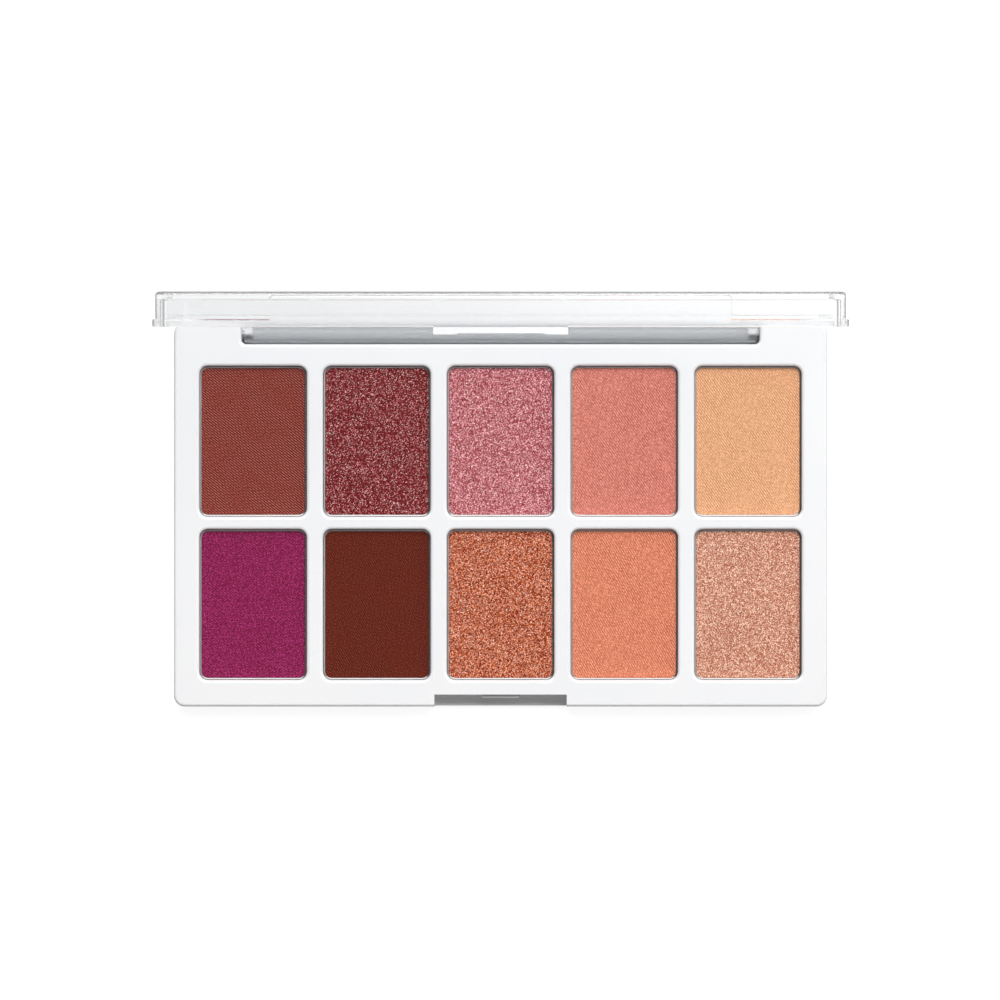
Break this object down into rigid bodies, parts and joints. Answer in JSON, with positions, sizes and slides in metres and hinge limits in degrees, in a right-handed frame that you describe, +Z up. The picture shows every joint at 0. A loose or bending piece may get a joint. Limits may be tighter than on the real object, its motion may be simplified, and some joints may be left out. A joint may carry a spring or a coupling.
{
  "type": "eyeshadow palette",
  "caption": "Slim rectangular eyeshadow palette: a white base holds rows of pressed powder in metal pans, under a clear lid hinged along the back edge.",
  "frame": {"origin": "middle of the flat underside of the base", "axes": "+X to the right along the long side, +Y towards the hinge, +Z up out of the powders"},
  "size_m": [0.114, 0.0729, 0.0699],
  "materials": {
    "white_plastic": "satin white moulding",
    "clear_plastic": "polished clear moulding",
    "pan_metal": "pressed sheet, bright",
    "pin_steel": "drawn wire",
    "glue": "cured dot of glue",
    "powder_brick": "matte, pressed with a fine woven texture",
    "powder_burgundy": "sparkling, pressed with a fine woven texture",
    "powder_rose": "sparkling, pressed with a fine woven texture",
    "powder_salmon": "matte, pressed with a fine woven texture",
    "powder_apricot": "matte, pressed with a fine woven texture",
    "powder_plum": "matte, pressed with a fine woven texture",
    "powder_cocoa": "matte, pressed with a fine woven texture",
    "powder_copper": "sparkling, pressed with a fine woven texture",
    "powder_coral": "matte, pressed with a fine woven texture",
    "powder_champagne": "shimmering, pressed with a fine woven texture"
  },
  "bodies": {
    "base": {"base": "white_plastic", "hinge_pin_left": "pin_steel", "hinge_pin_right": "pin_steel", "pan_glue": "glue", "pan_1": "pan_metal", "pan_2": "pan_metal", "pan_3": "pan_metal", "pan_4": "pan_metal", "pan_5": "pan_metal", "pan_6": "pan_metal", "pan_7": "pan_metal", "pan_8": "pan_metal", "pan_9": "pan_metal", "pan_10": "pan_metal", "powder_brick": "powder_brick", "powder_burgundy": "powder_burgundy", "powder_rose": "powder_rose", "powder_salmon": "powder_salmon", "powder_apricot": "powder_apricot", "powder_plum": "powder_plum", "powder_cocoa": "powder_cocoa", "powder_copper": "powder_copper", "powder_coral": "powder_coral", "powder_champagne": "powder_champagne"},
    "lid": {"lid": "clear_plastic"}
  },
  "joints": [
    {"name": "lid_hinge", "type": "hinge", "parent": "base", "child": "lid", "pos_m": [0, 0.0316, 0.0046], "axis": [-1, 0, 0], "range_deg": [-87.5, 2.5]}
  ]
}
